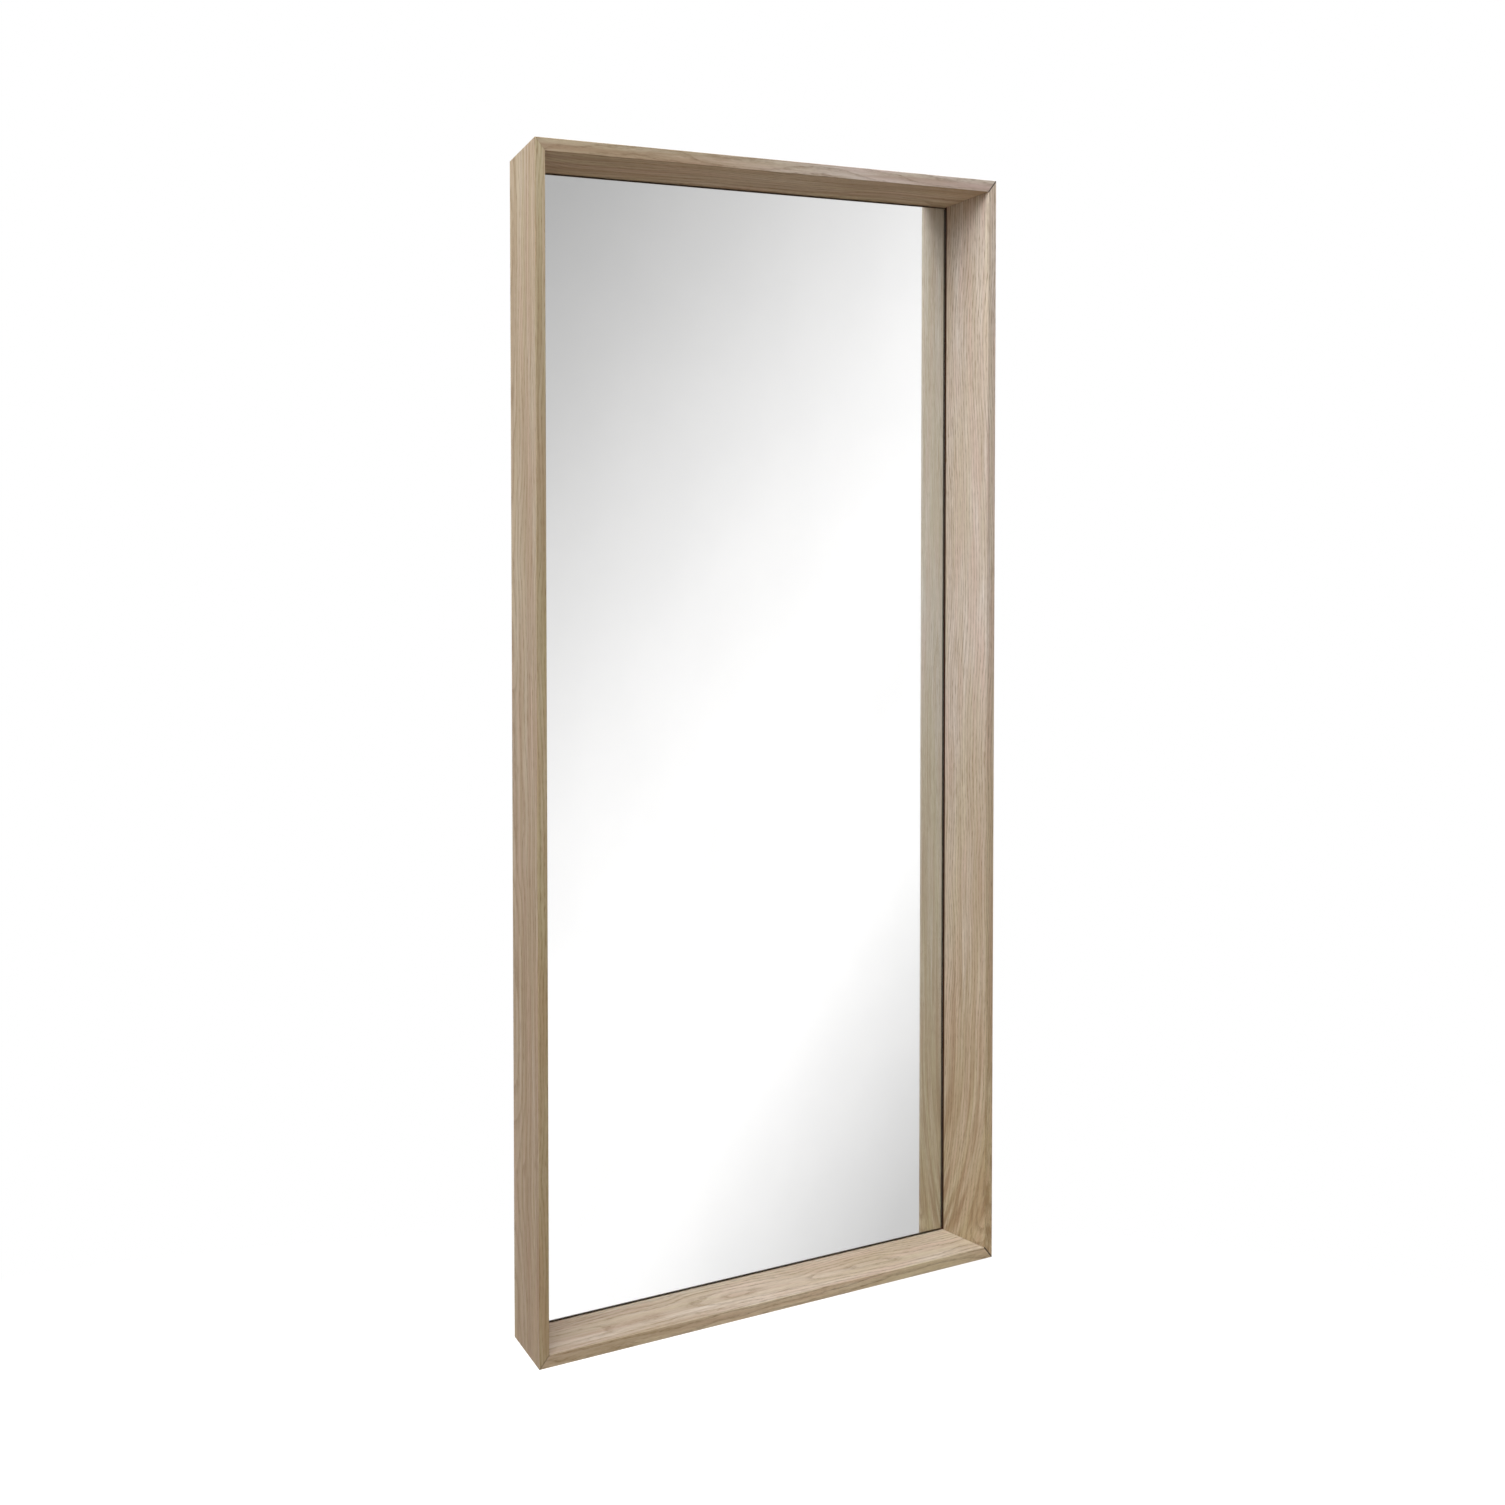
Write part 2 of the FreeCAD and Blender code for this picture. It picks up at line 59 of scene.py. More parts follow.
# A tall wall mirror in a deep frame of four canted oak boards, seen from the left.
# Metres, X to the right, Y from the front of the frame to the wall, Z up. Values that a remap
# takes are the two ends of what goes in and, where they aren't 0 and 1, of what comes out.
MM = 0.001

# The camera stands left of the mirror, a little above its middle.
CAMERA_PLACE = (-3.5601, -3.6776, 0.4057)
CAMERA_PITCH = radians(-3.205)
CAMERA_YAW = radians(-44.268)
CAMERA_LENS = 77.66
CAMERA_SENSOR = 36.0
CAMERA_SHIFT = -0.06
CAMERA_REACH = 100.0

# Soft square lamps: place, watts, side of the lamp, point that it faces, colour.
LAMPS = {
    "key_lamp": ((-2.2, -0.3, 2.3), 42.0, 2.6, (-0.4, -0.05, 0.3), (1.0, 0.99, 0.98)),
    "high_lamp": ((-2.25, -1.35, 3.6), 152.0, 3.2, (0.0, -0.05, -0.1), (0.97, 1.0, 1.04)),
    "top_lamp": ((-0.3, -0.8, 3.7), 70.0, 1.6, (0.0, -0.05, -0.9), (1.0, 1.0, 1.02)),
    "back_lamp": ((1.9, 3.0, 1.3), 105.0, 2.0, (0.0, 0.0, 0.0), (1.0, 1.0, 1.0)),
}
AMBIENT = (0.105, 0.086, 0.062, 1.0)
WHITE = (1.0, 1.0, 1.0, 1.0)


def srgb(red, green, blue):
    """A colour as shaders want it, from 0 to 255 values as seen on a screen."""
    linear = []
    for value in (red, green, blue):
        share = value / 255
        linear.append(share / 12.92 if share <= 0.04045 else ((share + 0.055) / 1.055) ** 2.4)
    return (*linear, 1.0)


# A kind of noise: how fine it is along X, Y and Z, its detail, its roughness and its shift.
Noise = namedtuple("Noise", "scale detail roughness shift", defaults=(0.5, (0, 0, 0)))


class Nodes:
    """Adds nodes to one shader tree and joins them. Most methods return an output socket."""

    MIX_FACTOR, MIX_A, MIX_B, MIX_RESULT = 0, 6, 7, 2

    def __init__(self, tree):
        self.tree = tree
        tree.nodes.clear()

    def add(self, kind, inputs=None, output=0, **settings):
        node = self.tree.nodes.new(kind)
        for setting, value in settings.items():
            setattr(node, setting, value)
        for key, value in (inputs or {}).items():
            self.feed(node.inputs[key], value)
        return node.outputs[output]

    def feed(self, socket, value):
        if isinstance(value, bpy.types.NodeSocket):
            self.tree.links.new(value, socket)
        else:
            socket.default_value = value

    def math(self, operation, *values):
        return self.add("ShaderNodeMath", dict(enumerate(values)), operation=operation)

    def vector(self, operation, *values, output="Vector"):
        inputs = dict(enumerate(values))
        return self.add("ShaderNodeVectorMath", inputs, output, operation=operation)

    def position(self):
        """Places on the object in metres, in the frame of the part."""
        return self.add("ShaderNodeTexCoord", output="Object")

    def split(self, vector):
        """The X, Y and Z of a vector."""
        node = self.add("ShaderNodeSeparateXYZ", {0: vector}).node
        return tuple(node.outputs)

    def join(self, x, y, z):
        return self.add("ShaderNodeCombineXYZ", {0: x, 1: y, 2: z})

    def mapping(self, vector, location=(0, 0, 0), rotation=(0, 0, 0), scale=(1, 1, 1)):
        values = {"Vector": vector, "Location": location, "Rotation": rotation, "Scale": scale}
        return self.add("ShaderNodeMapping", values)

    def noise(self, place, kind):
        """One kind of noise at each place."""
        vector = self.mapping(place, location=kind.shift, scale=kind.scale)
        values = {"Scale": 1.0, "Detail": kind.detail, "Roughness": kind.roughness}
        return self.add("ShaderNodeTexNoise", {"Vector": vector, **values})

    def cells(self, place, scale, output="Distance"):
        """Rounded cells, so many per metre along X, Y and Z."""
        values = {"Vector": self.mapping(place, scale=scale), "Scale": 1.0}
        return self.add("ShaderNodeTexVoronoi", values, output)

    def remap(self, value, low, high, new_low=0.0, new_high=1.0):
        """Takes a value from between low and high to between new_low and new_high."""
        ends = {"From Min": low, "From Max": high, "To Min": new_low, "To Max": new_high}
        return self.add("ShaderNodeMapRange", {"Value": value, **ends}, clamp=True)

    def ramp(self, value, stops):
        """Greys along a value, through (place, level) stops."""
        output = self.add("ShaderNodeValToRGB", {0: value})
        elements = output.node.color_ramp.elements
        while len(elements) < len(stops):
            elements.new(1.0)
        for element, (place, level) in zip(elements, stops):
            element.position = place
            element.color = (level, level, level, 1.0)
        return output

    def mix(self, factor, first, second, blend="MIX"):
        values = {self.MIX_FACTOR: factor, self.MIX_A: first, self.MIX_B: second}
        settings = {"data_type": "RGBA", "blend_type": blend}
        return self.add("ShaderNodeMix", values, self.MIX_RESULT, **settings)

    def tint(self, colour, amount, share, over):
        """A colour with another laid over it, by an amount times a share."""
        return self.mix(self.math("MULTIPLY", amount, share), colour, over)

    def multiply(self, colour, tones):
        return self.mix(1.0, colour, tones, blend="MULTIPLY")

    def bump(self, height, distance):
        return self.add("ShaderNodeBump", {"Height": height, "Distance": distance})

    def surface(self, **values):
        """Closes the tree with one Principled shader; words are joined by underscores."""
        inputs = {name.replace("_", " "): value for name, value in values.items()}
        shader = self.add("ShaderNodeBsdfPrincipled", inputs)
        self.add_output("ShaderNodeOutputMaterial", shader)

    def add_output(self, kind, shader):
        target = self.tree.nodes.new(kind)
        self.tree.links.new(shader, target.inputs["Surface"])


def material(name, build, *details):
    """A material whose nodes the function build makes."""
    made = bpy.data.materials.new(name)
    made.use_nodes = True
    build(Nodes(made.node_tree), *details)
    return made


# Colours of the oak.
OAK_PALE = srgb(218, 203, 184)
OAK_MIDDLE = srgb(192, 173, 149)
OAK_DEEP = srgb(150, 126, 98)
OAK_WARM = srgb(178, 154, 119)
OAK_ROSE = srgb(204, 175, 154)
OAK_STRAW = srgb(198, 182, 150)
OAK_BROWN = srgb(158, 126, 100)
OAK_PORE = srgb(122, 98, 72)
OAK_GLUE = srgb(40, 29, 22)
# Painted shade of the gap round the pane, laid on the inner faces.
OAK_GAP_SHADE = srgb(78, 48, 32)

# Growth rings run round a pith line along the grain. A pith close behind a face gives it nested
# arches, and one far to the side gives it straight lines. Noise pushes the rings out of round.
RING_SPACING = 4.2 * MM
RING_PUSHES = (
    (Noise((5, 5, 2.2), 1.5), 46.0 * MM),
    (Noise((22, 22, 7), 1.0), 9.0 * MM),
    (Noise((70, 70, 18), 2.0), 2.2 * MM),
)
RING_UNEVEN_NOISE = Noise((90, 90, 90), 1.0)
RING_UNEVEN = 3.0 * MM

# Through one ring, how open its early wood is and how dense its late wood.
RING_POROUS = ((0.0, 0.1), (0.08, 1.0), (0.30, 0.5), (0.55, 0.08), (0.93, 0.0), (1.0, 0.1))
RING_DENSE = ((0.0, 0.2), (0.1, 0.0), (0.55, 0.2), (0.93, 1.0), (1.0, 0.2))
POROUS_SHARE = 0.40
DENSE_SHARE = 0.12

# The clear wood, as layers over the pale oak: the noise and shade of each, and its colour. Brown
# bands come last, with a strength for each board.
OAK_LAYERS = (
    (Noise((260, 260, 9), 3.0, 0.6), (0.32, 0.68), OAK_MIDDLE),
    (Noise((24, 24, 2.4), 3.0), (0.38, 0.70, 0.0, 0.55), OAK_WARM),
    (Noise((60, 60, 5), 2.0, shift=(3, 0, 0)), (0.46, 0.64, 0.0, 0.5), OAK_ROSE),
    (Noise((60, 60, 3), 2.0, shift=(0, 5, 0)), (0.48, 0.66, 0.0, 0.55), OAK_STRAW),
)
BANDS = Noise((105, 105, 2.4), 1.5, shift=(0, 0, 7))
BAND_EDGE = (0.46, 0.62)

# Fibres, pores and the longer dashes, which gather in the early wood and in zones.
FIBRES = Noise((1500, 1500, 60), 2.0, 0.6)
FIBRE_SHADE = (0.35, 0.75, 0.0, 0.25)
FIBRE_RELIEF = 0.35
PORES = Noise((1300, 1300, 80), 1.0)
PORE_EDGE = (0.50, 0.66)
PORES_IN_RING = (0.1, 0.9, 0.2, 1.0)
PORE_SHARE = 0.5
DASHES = Noise((330, 330, 46), 2.0)
DASH_ZONES = Noise((18, 18, 4), 1.0)
DASHES_IN_RING = (0.0, 0.8, 0.35, 1.0)
DASHES_IN_ZONE = (0.38, 0.6, 0.3, 1.0)
DASH_SHARE = 0.60
OAK_ROUGHNESS = (0.3, 1.6, 0.50, 0.70)
OAK_BUMP = 0.12 * MM
OAK_SPECULAR = 0.25

# The line in each mitre: how far from its middle it is full and has faded, how deep it goes behind
# the front and what is left of it there, and its strength along a slant over X and Z.
MITRE_LINE = 1.1 * MM
MITRE_FADE = 2.1 * MM
MITRE_DEPTH = 1.0 * MM
MITRE_BEHIND = 0.12
MITRE_SLANT = 0.2
MITRE_STRENGTH = (-0.70, 0.30, 0.04, 1.0)
MITRE_SHARE = 0.9
MITRE_RELIEF = 0.8

# The veneer strip on the front edge, and the line of glue behind it.
EDGE_STRIP = 0.8 * MM
EDGE_GLUE = 0.3 * MM
EDGE_GLUE_SHARE = 0.35

# Painted shade on the inner faces, where they pass beside the pane: a dark band that stands for
# the shade in the gap round it.
GAP_SHADE_INSIDE = 10.0 * MM
GAP_SHADE_EDGE = 0.6 * MM

# Each board: the turn that brings its grain to Z, its pith, how strongly its grain sweeps back at
# the low end, the seed that shifts its noise, and how far in front of the pane its painted gap
# shade begins.
# Its brown bands, the tones of its wood and those of its front strip change along it, between two
# values that are reached at the ends of a range. The tones are partly the wood's own colour and
# partly painted light and shade: lighter or darker along a board, and on its front face, as light
# falls there.
ALONG_Z = (0.0, 0.0, 0.0)
ALONG_X = (0.0, -pi / 2, 0.0)
SWEEP_START = -0.55
TONE_RANGE = (-0.8, 0.0)
STRIP_RANGE = (-0.2, 0.4)
SEED_STEP = (0.37, 0.19, 1.3)
Board = namedtuple(
    "Board", "turn pith sweep seed stain_start bands low_tone high_tone strip_low strip_high"
)
OAK_BOARDS = {
    "stile_left": Board(
        turn=ALONG_Z, pith=(-0.60, 0.045), sweep=0.0, seed=1.0, stain_start=-4.0 * MM,
        bands=(0.40, 0.35),
        low_tone=(0.90, 0.93, 0.94, 1.0), high_tone=(1.03, 1.10, 1.14, 1.0),
        strip_low=(1.01, 1.02, 0.88, 1.0), strip_high=(0.94, 0.95, 0.86, 1.0),
    ),
    "stile_right": Board(
        turn=ALONG_Z, pith=(0.53, -0.125), sweep=0.60, seed=2.0, stain_start=0.2 * MM,
        bands=(0.66, 0.10),
        low_tone=(1.14, 1.17, 1.07, 1.0), high_tone=(1.28, 1.39, 1.60, 1.0),
        strip_low=(1.10, 1.13, 1.08, 1.0), strip_high=(1.13, 1.15, 1.21, 1.0),
    ),
    "rail_top": Board(
        turn=ALONG_X, pith=(-0.93, 0.02), sweep=0.0, seed=3.0, stain_start=-4.0 * MM,
        bands=(0.50, 0.50),
        low_tone=(1.06, 1.09, 1.07, 1.0), high_tone=(1.06, 1.09, 1.09, 1.0),
        strip_low=(0.89, 0.91, 0.94, 1.0), strip_high=(1.34, 1.50, 1.98, 1.0),
    ),
    "rail_bottom": Board(
        turn=ALONG_X, pith=(0.905, -0.05), sweep=0.0, seed=4.0, stain_start=-4.0 * MM,
        bands=(0.40, 0.15),
        low_tone=(0.90, 0.91, 1.01, 1.0), high_tone=(1.29, 1.37, 1.48, 1.0),
        strip_low=(1.12, 1.15, 1.10, 1.0), strip_high=(1.08, 1.10, 1.03, 1.0),
    ),
}


def swept(nodes, grain, board):
    """The grain's own places where it bends back towards the low end of a board."""
    across, back, along = nodes.split(grain)
    below = nodes.math("MAXIMUM", nodes.math("SUBTRACT", SWEEP_START, along), 0.0)
    shift = nodes.math("MULTIPLY", nodes.math("MULTIPLY", below, below), board.sweep)
    return nodes.join(across, nodes.math("SUBTRACT", back, shift), along)


def ring_share(nodes, grain, board):
    """How far each place lies through its growth ring, from 0 to 1."""
    across, back, _ = nodes.split(grain)
    pith_x, pith_y = board.pith
    beside = nodes.math("SUBTRACT", across, pith_x)
    behind = nodes.math("SUBTRACT", back, pith_y)
    radius = nodes.vector("LENGTH", nodes.join(beside, behind, 0.0), output="Value")
    for noise, push in RING_PUSHES:
        radius = nodes.math("MULTIPLY_ADD", nodes.noise(grain, noise), push, radius)
    uneven = nodes.noise(nodes.join(radius, 0.0, pith_x), RING_UNEVEN_NOISE)
    radius = nodes.math("MULTIPLY_ADD", uneven, RING_UNEVEN, radius)
    return nodes.math("FRACT", nodes.math("DIVIDE", radius, RING_SPACING))


def mitre_line(nodes, position, reach):
    """The mitres' line, where |z| - |x| equals reach: faint at top left, strong on the right."""
    x, y, z = nodes.split(position)
    apart = nodes.math("SUBTRACT", nodes.math("ABSOLUTE", z), nodes.math("ABSOLUTE", x))
    off_line = nodes.math("ABSOLUTE", nodes.math("SUBTRACT", apart, reach))
    line = nodes.remap(off_line, MITRE_LINE, MITRE_FADE, 1.0, 0.0)
    in_front = nodes.remap(y, frame_front, frame_front + MITRE_DEPTH, 1.0, MITRE_BEHIND)
    slant = nodes.math("MULTIPLY_ADD", z, -MITRE_SLANT, x)
    strength = nodes.remap(slant, *MITRE_STRENGTH)
    return nodes.math("MULTIPLY", line, nodes.math("MULTIPLY", in_front, strength))


def oak_colour(nodes, grain, shifted, board):
    """The clear wood between the rings: clouds, streaks and bands of different oak, times tones
    along the board that are partly painted light and shade.
    """
    colour = OAK_PALE
    for noise, shade, layer in OAK_LAYERS:
        colour = nodes.mix(nodes.remap(nodes.noise(shifted, noise), *shade), colour, layer)
    _, _, along = nodes.split(grain)
    bands = nodes.remap(nodes.noise(shifted, BANDS), *BAND_EDGE)
    strength = nodes.remap(along, *TONE_RANGE, *board.bands)
    colour = nodes.tint(colour, bands, strength, OAK_BROWN)
    tones = nodes.mix(nodes.remap(along, *TONE_RANGE), board.low_tone, board.high_tone)
    return nodes.multiply(colour, tones)


def edge_strip(nodes, grain, colour, board):
    """The colour with the veneer strip on the front edge, and its fine line of glue. The strip's
    tones along the board are partly painted light and shade on the front face.
    """
    _, back, along = nodes.split(grain)
    behind = nodes.math("SUBTRACT", back, frame_front + EDGE_STRIP)
    strip = nodes.math("LESS_THAN", behind, 0.0)
    glue = nodes.remap(nodes.math("ABSOLUTE", behind), 0.0, EDGE_GLUE, EDGE_GLUE_SHARE, 0.0)
    tones = nodes.mix(nodes.remap(along, *STRIP_RANGE), board.strip_low, board.strip_high)
    stripped = nodes.mix(strip, colour, nodes.multiply(colour, tones))
    return nodes.mix(glue, stripped, OAK_PORE)


def painted_gap_shade(nodes, grain, pane_half, pane_front, before):
    """1 where a board passes beside the pane, on its inner face only: where the painted shade of
    the gap goes.
    """
    across, back, _ = nodes.split(grain)
    inside = nodes.math("LESS_THAN", nodes.math("ABSOLUTE", across), pane_half + GAP_SHADE_INSIDE)
    start = pane_front - before
    beside = nodes.remap(back, start - GAP_SHADE_EDGE, start)
    return nodes.math("MULTIPLY", inside, beside)


def pores_and_dashes(nodes, shifted, porous):
    """The fine pores and the longer dashes, both thickest in the early wood."""
    pores = nodes.remap(nodes.noise(shifted, PORES), *PORE_EDGE)
    pores = nodes.math("MULTIPLY", pores, nodes.remap(porous, *PORES_IN_RING))
    in_ring = nodes.remap(porous, *DASHES_IN_RING)
    in_zone = nodes.remap(nodes.noise(shifted, DASH_ZONES), *DASHES_IN_ZONE)
    dashes = nodes.remap(nodes.noise(shifted, DASHES), *PORE_EDGE)
    dashes = nodes.math("MULTIPLY", dashes, nodes.math("MULTIPLY", in_ring, in_zone))
    return pores, dashes


def oak(nodes, board, reach, pane_half, pane_front):
    """Pale oak with a matt lacquer."""
    position = nodes.position()
    grain = nodes.mapping(position, rotation=board.turn)
    bent = swept(nodes, grain, board)
    shifted = nodes.vector("ADD", bent, tuple(board.seed * step for step in SEED_STEP))
    ring = ring_share(nodes, bent, board)
    porous = nodes.ramp(ring, RING_POROUS)
    dense = nodes.ramp(ring, RING_DENSE)
    fibres = nodes.noise(shifted, FIBRES)
    pores, dashes = pores_and_dashes(nodes, shifted, porous)
    line = mitre_line(nodes, position, reach)

    colour = oak_colour(nodes, grain, shifted, board)
    colour = nodes.tint(colour, dense, DENSE_SHARE, OAK_DEEP)
    colour = nodes.tint(colour, porous, POROUS_SHARE, OAK_DEEP)
    colour = nodes.tint(colour, dashes, DASH_SHARE, OAK_DEEP)
    colour = nodes.mix(nodes.remap(fibres, *FIBRE_SHADE), colour, OAK_DEEP)
    colour = nodes.tint(colour, pores, PORE_SHARE, OAK_PORE)
    colour = edge_strip(nodes, grain, colour, board)
    colour = nodes.tint(colour, line, MITRE_SHARE, OAK_GLUE)
    # Painted shade: the inner faces go dark beside the pane, for the shade in the gap round it.
    gap_shade = painted_gap_shade(nodes, grain, pane_half, pane_front, board.stain_start)
    colour = nodes.mix(gap_shade, colour, OAK_GAP_SHADE)

    relief = nodes.math("SUBTRACT", nodes.math("MULTIPLY", fibres, FIBRE_RELIEF), pores)
    relief = nodes.math("SUBTRACT", relief, nodes.math("MULTIPLY", line, MITRE_RELIEF))
    nodes.surface(
        Base_Color=colour,
        Roughness=nodes.remap(nodes.math("ADD", fibres, pores), *OAK_ROUGHNESS),
        Normal=nodes.bump(relief, OAK_BUMP),
        Specular_IOR_Level=OAK_SPECULAR,
    )


# Fibreboard, plywood and foam, which show only from behind or in a cut.
BOARD_PALE = srgb(196, 166, 128)
BOARD_DARK = srgb(150, 118, 84)
BOARD_FLECKS = Noise((420, 420, 300), 4.0, 0.7)
BOARD_FLECK_SHADE = (0.33, 0.70)
BOARD_CLOUDS = Noise((9, 9, 9), 3.0)
BOARD_CLOUD_SHADE = (0.35, 0.65, 0.0, 0.30)
BOARD_MARKS = (150, 150, 90)
BOARD_MARK_SHADE = (0.05, 0.20, 0.35, 0.0)
BOARD_ROUGHNESS = (0.3, 0.7, 0.74, 0.9)
BOARD_BUMP = 0.03 * MM

PLY_PALE = srgb(214, 186, 146)
PLY_DARK = srgb(160, 122, 84)
PLY_PITCH = 0.8 * MM
PLY_EDGE = (0.20, 0.30)
PLY_GRAIN = Noise((900, 900, 60), 2.0)
PLY_GRAIN_SHADE = (0.35, 0.7, 0.0, 0.5)
PLY_ROUGHNESS = 0.7
PLY_BUMP = 0.06 * MM

FOAM_PALE = srgb(226, 226, 220)
FOAM_DARK = srgb(176, 176, 170)
FOAM_BUBBLES = (1600, 1600, 1600)
FOAM_BUBBLE_SHADE = (0.1, 0.5, 0.0, 0.5)
FOAM_CLOUDS = Noise((140, 140, 140), 2.0)
FOAM_CLOUD_SHADE = (0.35, 0.7, 0.0, 0.3)
FOAM_ROUGHNESS = 0.85
FOAM_BUMP = 0.1 * MM


def fibreboard(nodes):
    """Pressed wood fibres: short pale and dark flecks under a sanded face."""
    position = nodes.position()
    flecks = nodes.noise(position, BOARD_FLECKS)
    clouds = nodes.noise(position, BOARD_CLOUDS)
    marks = nodes.cells(position, BOARD_MARKS)
    colour = nodes.mix(nodes.remap(flecks, *BOARD_FLECK_SHADE), BOARD_PALE, BOARD_DARK)
    colour = nodes.mix(nodes.remap(clouds, *BOARD_CLOUD_SHADE), colour, BOARD_DARK)
    colour = nodes.mix(nodes.remap(marks, *BOARD_MARK_SHADE), colour, BOARD_DARK)
    roughness = nodes.remap(flecks, *BOARD_ROUGHNESS)
    relief = nodes.bump(flecks, BOARD_BUMP)
    nodes.surface(Base_Color=colour, Roughness=roughness, Normal=relief)


def plywood(nodes):
    """Thin cross-laid beech plies."""
    position = nodes.position()
    _, y, _ = nodes.split(position)
    ply = nodes.math("FRACT", nodes.math("DIVIDE", y, 2 * PLY_PITCH))
    band = nodes.remap(nodes.math("PINGPONG", ply, 0.5), *PLY_EDGE)
    grain = nodes.noise(position, PLY_GRAIN)
    colour = nodes.mix(band, PLY_PALE, PLY_DARK)
    colour = nodes.mix(nodes.remap(grain, *PLY_GRAIN_SHADE), colour, PLY_DARK)
    relief = nodes.bump(grain, PLY_BUMP)
    nodes.surface(Base_Color=colour, Roughness=PLY_ROUGHNESS, Normal=relief)


def foam(nodes):
    """Closed-cell foam tape."""
    position = nodes.position()
    bubbles = nodes.cells(position, FOAM_BUBBLES)
    clouds = nodes.noise(position, FOAM_CLOUDS)
    colour = nodes.mix(nodes.remap(bubbles, *FOAM_BUBBLE_SHADE), FOAM_PALE, FOAM_DARK)
    colour = nodes.mix(nodes.remap(clouds, *FOAM_CLOUD_SHADE), colour, FOAM_DARK)
    relief = nodes.bump(bubbles, FOAM_BUMP)
    nodes.surface(Base_Color=colour, Roughness=FOAM_ROUGHNESS, Normal=relief)


# Glass: its ground edges are where the normal turns away from Y. Their near black colour is the
# green of the glass darkened as painted shade of the gap round the pane.
GLASS_TINT = (0.86, 0.918, 0.912, 1.0)
GLASS_IOR = 1.52
GLASS_FACE = (0.80, 0.95)
GLASS_EDGE_SHADE = srgb(30, 32, 27)
GLASS_EDGE_SHADE_DARK = srgb(16, 17, 14)
GRINDING = Noise((1400, 1400, 1400), 3.0, 0.7)
GRINDING_SHADE = (0.35, 0.65)
GRINDING_ROUGHNESS = (0.3, 0.7, 0.45, 0.75)

# Silver coat on the back of the glass, as a closed slab just inside its back face.
SILVER_BRIGHT = (0.955, 0.953, 0.95, 1.0)
SILVER_DULL = (0.928, 0.928, 0.926, 1.0)
SILVER_CLOUDS = Noise((5, 5, 5), 4.0, 0.6)
SILVER_CLOUD_SHADE = (0.3, 0.7)
SILVER_DEPTH = 0.04 * MM
SILVER_THICKNESS = 0.06 * MM
SILVER_INSET = 0.7 * MM
SILVER_CORNER = 2.0 * MM

# Zinc-plated steel. A brush is the noise of its rubbed lines, which is coarse along the rubbing.
ZINC_BRIGHT = srgb(205, 205, 203)
ZINC_DULL = srgb(158, 160, 162)
ZINC_YELLOW = srgb(196, 190, 168)
ZINC_GOLD = srgb(206, 186, 132)
ZINC_BRONZE = srgb(152, 126, 80)
ZINC_SHADE = (0.3, 0.7)
ZINC_SPANGLE = (420, 420, 420)
ZINC_SPANGLE_SHARE = 0.14
ZINC_SPOTS = Noise((160, 160, 160), 3.0)
ZINC_SPOT_SHADE = (0.48, 0.66, 0.0, 0.5)
ZINC_ROUGHNESS = (0.3, 0.7, 0.24, 0.46)
ZINC_BUMP = 0.02 * MM
PLATE_BRUSH = Noise((2400, 2400, 60), 3.0, 0.7)
WIRE_BRUSH = Noise((500, 900, 500), 3.0, 0.7)
SCREW_BRUSH = Noise((900, 500, 900), 3.0, 0.7)


def glass(nodes):
    """Clear float glass with ground edges: the faces let light through, the edges don't, and are
    painted near black as shade of the gap.
    """
    normal = nodes.add("ShaderNodeNewGeometry", output="Normal")
    _, along_y, _ = nodes.split(normal)
    face = nodes.remap(nodes.math("ABSOLUTE", along_y), *GLASS_FACE)
    grinding = nodes.noise(nodes.position(), GRINDING)
    edge_shade = nodes.mix(nodes.remap(grinding, *GRINDING_SHADE), GLASS_EDGE_SHADE, GLASS_EDGE_SHADE_DARK)
    edge_roughness = nodes.remap(grinding, *GRINDING_ROUGHNESS)
    nodes.surface(
        Base_Color=nodes.mix(face, edge_shade, GLASS_TINT),
        Roughness=nodes.math("MULTIPLY", nodes.math("SUBTRACT", 1.0, face), edge_roughness),
        Transmission_Weight=face,
        IOR=GLASS_IOR,
    )


def silver(nodes):
    """The silver coat, with faint clouding that only a close look finds."""
    clouds = nodes.noise(nodes.position(), SILVER_CLOUDS)
    colour = nodes.mix(nodes.remap(clouds, *SILVER_CLOUD_SHADE), SILVER_BRIGHT, SILVER_DULL)
    nodes.surface(Base_Color=colour, Metallic=1.0, Roughness=0.0)


def zinc(nodes, brush, bright=ZINC_BRIGHT, dull=ZINC_DULL):
    """Zinc-plated steel, rubbed along one direction, with a faint yellow cast in places."""
    position = nodes.position()
    rubbed = nodes.noise(position, brush)
    spangle, _, _ = nodes.split(nodes.cells(position, ZINC_SPANGLE, output="Color"))
    spots = nodes.noise(position, ZINC_SPOTS)
    colour = nodes.mix(nodes.remap(rubbed, *ZINC_SHADE), bright, dull)
    colour = nodes.mix(nodes.remap(spots, *ZINC_SPOT_SHADE), colour, ZINC_YELLOW)
    colour = nodes.mix(ZINC_SPANGLE_SHARE, colour, spangle, blend="OVERLAY")
    roughness = nodes.remap(rubbed, *ZINC_ROUGHNESS)
    relief = nodes.bump(rubbed, ZINC_BUMP)
    nodes.surface(Base_Color=colour, Metallic=1.0, Roughness=roughness, Normal=relief)


HANGERS = (
    "hanger_upright_left", "hanger_upright_right", "hanger_sideways_top", "hanger_sideways_bottom",
)
SPLINES = ("spline_top_left", "spline_top_right", "spline_bottom_left", "spline_bottom_right")


